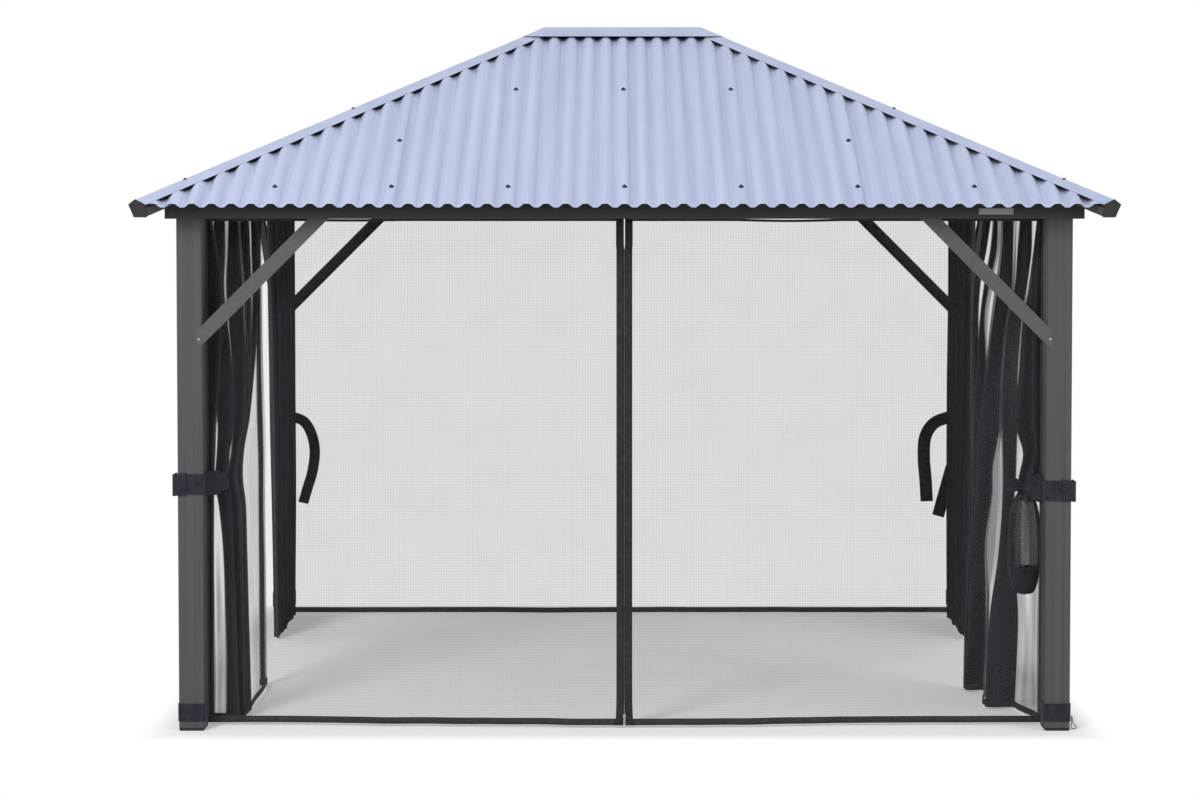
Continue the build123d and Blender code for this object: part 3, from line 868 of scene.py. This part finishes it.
# %% Hang the rear side nets
whole_hems = {"foot": (0, 1, 0.987, 1), "edge": (0.986, 1, 0, 1)}
pleats, rear_width = 14, 1.3
for side, way_x, levels, seed in (
    ("left", -1, ((2.03, 0, 0.92), (1.0, 0, 0.83), (0, 0.04, 0.67)), 21.0),
    ("right", 1, ((2.03, 0, 0.855), (1.0, 0.02, 0.77), (0, 0.12, 0.58)), 31.0),
):
    place = pleated_place(way_x, levels, pleats, rear_width, seed)
    node = f"side_net_rear_{side}"
    side_net(node + "_cloth", node, place, 14 * pleats, 90, (rear_width, 2.012), dense_net, whole_hems)
print("rear side nets hung")

# %% [markdown]
# The widths of the front nets below, 1.6 m on the left and 0.45 and 1.45 m on the right, were
# chosen to suit the folds after those were placed. The photograph doesn't show them. Unlike
# in the rear nets, no fold here follows from a width. The innermost strands hang loose, well
# outside the plain CAD solids that narrow to the ties.

# %% Hang the front side nets
left_strands = [
    [[-1286] * 12,
     [1670] * 12,
     [1645, 1624, 1600, 1605, 1616, 1631, 1636, 1641, 1643, 1643, 1641, 1645]],
    [[-1070, -1094, -1121, -1148, -1185, -1219, -1236, -1250, -1249, -1247, -1244, -1240],
     [1670, 1670, 1670, 1667, 1654, 1632, 1634, 1638, 1624, 1608, 1604, 1604],
     [1625, 1623, 1625, 1605, 1581, 1571, 1586, 1589, 1574, 1568, 1559, 1552]],
    [[-690, -758, -838, -913, -1016, -1114, -1160, -1200, -1196, -1190, -1182, -1170],
     [1670, 1665, 1660, 1639, 1608, 1588, 1586, 1598, 1590, 1582, 1573, 1571],
     [1627, 1610, 1586, 1567, 1545, 1541, 1557, 1558, 1542, 1540, 1537, 1530]],
    [[-420, -493, -580, -688, -851, -1013, -1086, -1148, -1144, -1134, -1121, -1101],
     [1664, 1646, 1621, 1600, 1575, 1566, 1584, 1590, 1574, 1571, 1569, 1565],
     [1625, 1611, 1594, 1579, 1557, 1543, 1555, 1550, 1538, 1534, 1531, 1525]],
    [[-270, -329, -400, -526, -743, -972, -1054, -1116, -1113, -1098, -1080, -1052],
     [1638, 1626, 1612, 1597, 1575, 1559, 1568, 1570, 1559, 1556, 1553, 1549],
     [1607, 1595, 1583, 1572, 1555, 1544, 1556, 1554, 1543, 1540, 1537, 1532]],
    [[-120, -190, -280, -385, -530, -552, -556, -558, -558, -560, -560, -560],
     [1605, 1599, 1586, 1570, 1547, 1540, 1537, 1536, 1536, 1535, 1534, 1534],
     [1640, 1630, 1617, 1602, 1581, 1576, 1573, 1571, 1571, 1570, 1568, 1566]],
]
right_tied = [
    [[-1286, -1285, -1284, -1283, -1281, -1280, -1279, -1278, -1277, -1277, -1277, -1277],
     [1670, 1670, 1670, 1670, 1670, 1670, 1670, 1660, 1625, 1625, 1625, 1625],
     [1655, 1648, 1640, 1634, 1630, 1636, 1640, 1605, 1597, 1597, 1597, 1597]],
    [[-1200, -1203, -1207, -1210, -1215, -1220, -1224, -1227, -1230, -1230, -1230, -1230],
     [1670, 1665, 1657, 1650, 1644, 1646, 1649, 1632, 1625, 1625, 1625, 1625],
     [1662, 1646, 1628, 1603, 1590, 1572, 1603, 1585, 1584, 1584, 1584, 1584]],
]
right_loose = [
    [[-1286] * 12,
     [1670] * 12,
     [1663, 1663, 1663, 1663, 1663, 1663, 1663, 1663, 1663, 1659, 1657, 1659]],
    [[-1020, -1033, -1048, -1073, -1104, -1119, -1125, -1130, -1125, -1107, -1072, -1009],
     [1670, 1667, 1646, 1625, 1605, 1600, 1594, 1590, 1584, 1589, 1612, 1610],
     [1620, 1608, 1596, 1565, 1541, 1532, 1536, 1538, 1536, 1522, 1494, 1486]],
    [[-550, -579, -613, -651, -708, -767, -785, -791, -798, -781, -751, -660],
     [1670, 1665, 1657, 1635, 1603, 1592, 1571, 1551, 1550, 1529, 1538, 1540],
     [1621, 1613, 1590, 1566, 1535, 1502, 1491, 1488, 1482, 1464, 1462, 1455]],
    [[-225, -285, -370, -455, -600, -622, -628, -630, -632, -636, -644, -660],
     [1656, 1643, 1600, 1564, 1549, 1530, 1525, 1524, 1524, 1517, 1502, 1484],
     [1637, 1615, 1578, 1547, 1511, 1499, 1494, 1494, 1493, 1488, 1476, 1460]],
    [[0, -90, -240, -375, -530, -552, -558, -562, -566, -572, -582, -600],
     [1660, 1626, 1578, 1549, 1526, 1516, 1513, 1511, 1508, 1501, 1489, 1472],
     [1631, 1604, 1560, 1530, 1504, 1499, 1498, 1497, 1496, 1488, 1476, 1464]],
]
for name, way_x, strands, layers, width, seed, bottom, hem_spans, sheer_from in (
    ("left_cloth", -1, left_strands, 5, 1.6, 3.0, foot_level, whole_hems, 5),
    ("right_tied", 1, right_tied, 5, 0.45, 11.0, 0.89, {}, 2),
    ("right_loose", 1, right_loose, 3, 1.45, 17.0, foot_level, whole_hems, 5),
):
    place, material_at = strand_place(way_x, strands, layers, seed, bottom, sheer_from)
    columns = len(strands) * 56 - 16
    flat = (width, net_top - bottom)
    node = "side_net_front_" + name.split("_")[0]
    side_net("side_net_front_" + name, node, place, columns, 90, flat, gathered_net, hem_spans, material_at)
print("front side nets hung")

# %% [markdown]
# At the front right the tied part of the net doesn't run on to the floor. It is folded up
# into a pouch below the tie, and its heavy hem closes the pouch as a dark cuff.


# %% Hang the pouch
def tube_place(centre, rings, wrinkles, seed):
    """rings: level, half width along X, half width along Y."""
    levels, halves_x, halves_y = zip(*rings)

    def place(across, down):
        z = levels[0] + (levels[-1] - levels[0]) * down
        half_x, half_y = through(levels, halves_x, z), through(levels, halves_y, z)
        angle = 2 * math.pi * across
        fold = 1 + wrinkles * math.sin(11 * angle + 2 * noise.noise(Vector((across * 4, down * 2, seed))))
        crease = 1 + 0.5 * wrinkles * noise.noise(Vector((math.cos(angle) * 3, math.sin(angle) * 3, down * 4 + seed)))
        x = centre[0] + half_x * fold * crease * math.cos(angle)
        y = centre[1] + half_y * fold * crease * math.sin(angle)
        return Vector((x, y, z))

    return place


pouch_at = (1.607, -1.225)
pouch_columns = 110
pouch_rings = [
    (0.945, 0.012, 0.012), (0.9, 0.038, 0.03), (0.84, 0.055, 0.045), (0.72, 0.063, 0.052), (0.612, 0.06, 0.05),
]
pouch_place = tube_place(pouch_at, pouch_rings, 0.08, 4.0)
pouch_cloth = cloth("side_net_pouch_mesh", pouch_place, pouch_columns, 30, (0.42, 0.35))
pouch = placed(pouch_cloth, "side_net_pouch", gathered_net)
pouch.data.materials.append(single_net)
for k, face in enumerate(pouch.data.polygons):
    side = math.cos(2 * math.pi * (k % pouch_columns + 0.5) / pouch_columns)
    face.material_index = 1 if -0.1 < side < 0.22 else 0
cuff_rings = [
    (0.624, 0.062, 0.052), (0.58, 0.057, 0.048), (0.54, 0.046, 0.038), (0.518, 0.03, 0.026), (0.514, 0.004, 0.004),
]
cuff_cloth = cloth("side_net_cuff_mesh", tube_place(pouch_at, cuff_rings, 0.012, 9.0), 72, 20, (0.36, 0.13))
cuff = thicken(placed(cuff_cloth, "side_net_cuff", webbing), 0.003)
print("pouch hung")

# %% [markdown]
# ## Ties
# At the front posts a wide tie comes off the band and gathers the net. It is soft and
# creased, and it narrows to the waist where it grips the folds. The rear ties aren't
# fastened: flat bands of webbing hang from the rear nets, curved by their own weight and
# turned a little, so that their edges show. Both follow smooth curves through a few points.


# %% Soft tubes and flat bands along a curved path
def along_path(points, share):
    """A point and a direction on a smooth curve through the points."""
    spans = len(points) - 1
    k = min(int(share * spans), spans - 1)
    t = share * spans - k
    p1, p2 = Vector(points[k]), Vector(points[k + 1])
    p0 = Vector(points[k - 1]) if k else 2 * p1 - p2
    p3 = Vector(points[k + 2]) if k + 2 <= spans else 2 * p2 - p1
    place = (
        2 * p1 + (p2 - p0) * t + (2 * p0 - 5 * p1 + 4 * p2 - p3) * t * t + (3 * p1 - p0 - 3 * p2 + p3) * t**3
    ) / 2
    run = ((p2 - p0) + 2 * (2 * p0 - 5 * p1 + 4 * p2 - p3) * t + 3 * (3 * p1 - p0 - 3 * p2 + p3) * t * t) / 2
    return place, run.normalized()


def sleeve(name, path, sizes, wrinkles, seed):
    """A soft tube along a path. sizes: half height and half depth at each point of it."""
    shares = [1 - k / (len(path) - 1) for k in range(len(path))]
    highs, deeps = zip(*sizes)

    def place(across, down):
        middle, run = along_path(path, down)
        angle = 2 * math.pi * across
        crease = 1 + wrinkles * math.sin(7 * angle + 3 * noise.noise(Vector((across * 3, down * 3, seed))))
        up = (Vector((0, 0, 1)) - run * run.z).normalized()
        high = through(shares, highs, 1 - down) * crease
        deep = through(shares, deeps, 1 - down) * crease
        return middle + up * high * math.cos(angle) + run.cross(up) * deep * math.sin(angle)

    length = sum((Vector(b) - Vector(a)).length for a, b in zip(path, path[1:]))
    around = 3.4 * (sum(highs) + sum(deeps)) / len(path)
    tube = placed(cloth(name, place, 72, 24, (around, length)), name, webbing)
    thicken(tube, 0.002)


def flat_band(name, points, width, turn):
    """turn: how far the band turns about its own run, in degrees, at its two ends."""

    def place(across, down):
        middle, run = along_path(points, down)
        angle = math.radians(turn[0] + (turn[1] - turn[0]) * down)
        wide = Matrix.Rotation(angle, 3, run) @ run.cross(Vector((0, 1, 0))).normalized()
        return middle + wide * width * (across - 0.5)

    length = sum((Vector(b) - Vector(a)).length for a, b in zip(points, points[1:]))
    mesh = cloth(name, place, 4, 48, (width, length))
    band = thicken(placed(mesh, name, webbing), 0.0022)
    return band


# %% Tie the front side nets
sleeve(
    "net_tie_left", [(-1.664, -1.36, 0.973), (-1.63, -1.3, 0.972), (-1.606, -1.27, 0.966), (-1.585, -1.26, 0.958)],
    [(0.047, 0.006), (0.046, 0.02), (0.036, 0.02), (0.012, 0.009)], 0.09, 2.0,
)
sleeve(
    "net_tie_right", [(1.664, -1.36, 0.95), (1.64, -1.31, 0.952), (1.618, -1.28, 0.952), (1.598, -1.265, 0.948)],
    [(0.042, 0.006), (0.052, 0.02), (0.036, 0.022), (0.012, 0.012)], 0.09, 5.0,
)
sleeve(
    "net_tie_right_bow", [(1.598, -1.265, 0.948), (1.578, -1.262, 0.955), (1.552, -1.255, 0.957), (1.53, -1.24, 0.95)],
    [(0.012, 0.012), (0.02, 0.012), (0.026, 0.01), (0.022, 0.003)], 0.12, 8.0,
)

# %% Hang the loose ties
tie_out = 1.195
left_path = [
    (-1.645, 1.012), (-1.585, 0.985), (-1.548, 0.921), (-1.533, 0.837),
    (-1.545, 0.737), (-1.57, 0.653), (-1.592, 0.578),
]
right_path = [(1.64, 1.01), (1.565, 0.978), (1.522, 0.912), (1.514, 0.812), (1.523, 0.699), (1.53, 0.586)]
short_path = [(1.652, 0.76), (1.622, 0.64), (1.588, 0.511)]
loose_bands = [
    flat_band("loose_tie_left", [(x, tie_out, z) for x, z in left_path], 0.052, (8, -20)),
    flat_band("loose_tie_right_long", [(x, tie_out, z) for x, z in right_path], 0.062, (-12, 14)),
    flat_band("loose_tie_right_short", [(x, tie_out + 0.01, z) for x, z in short_path], 0.06, (-20, 10)),
]
for band in loose_bands:
    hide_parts("loose_ties")
print(len(loose_bands), "loose ties hung")

# %% [markdown]
# The bands round the front posts close with a folded tail, which stands off the post's
# outer corner. The right foot strap ends in a small wire ring.


# %% Fold the tails of the bands
def folded_tail(name, corner_x, level, height, stand_out):
    """A flap that comes off the post's outer side, folds back on itself and lies on its front."""
    way = 1 if corner_x > 0 else -1
    edge_x = corner_x + way * stand_out
    front = -1.4148
    points = [
        (corner_x - way * 0.04, front - 0.0015, level),
        (corner_x - way * 0.01, front - 0.002, level),
        (edge_x - way * 0.003, front - 0.006, level),
        (edge_x, front + 0.004, level - 0.001),
        (edge_x - way * 0.002, front + 0.02, level - 0.002),
        (corner_x + way * 0.006, front + 0.045, level - 0.002),
    ]

    def place(across, down):
        middle, run = along_path(points, across)
        slope = 0.004 * math.sin(math.pi * across)
        return middle + Vector((0, 0, height * (0.5 - down) - slope))

    length = sum((Vector(b) - Vector(a)).length for a, b in zip(points, points[1:]))
    mesh = cloth(name, place, 30, 6, (length, height))
    tail = thicken(placed(mesh, name, webbing), 0.003)


def wire_loop(name, points, radius):
    """A closed loop of wire through the points."""
    points = points + points[:2]

    def place(across, down):
        middle, run = along_path(points, down * (len(points) - 2) / (len(points) - 1))
        side = run.cross(Vector((0, 1, 0))).normalized()
        angle = 2 * math.pi * across
        return middle + radius * (side * math.cos(angle) + run.cross(side) * math.sin(angle))

    placed(cloth(name, place, 8, 60, (1, 1)), name, dark_steel)


wire_loop(
    "foot_strap_ring",
    [(x, -1.405, z) for x, z in ((1.768, 0.06), (1.774, 0.03), (1.787, 0.012), (1.767, 0.01), (1.767, 0.03))],
    0.0017,
)
folded_tail("post_tie_tail_left", -1.7635, 0.979, 0.086, 0.014)
folded_tail("post_tie_tail_right", 1.7635, 0.954, 0.082, 0.012)
print("tails folded")
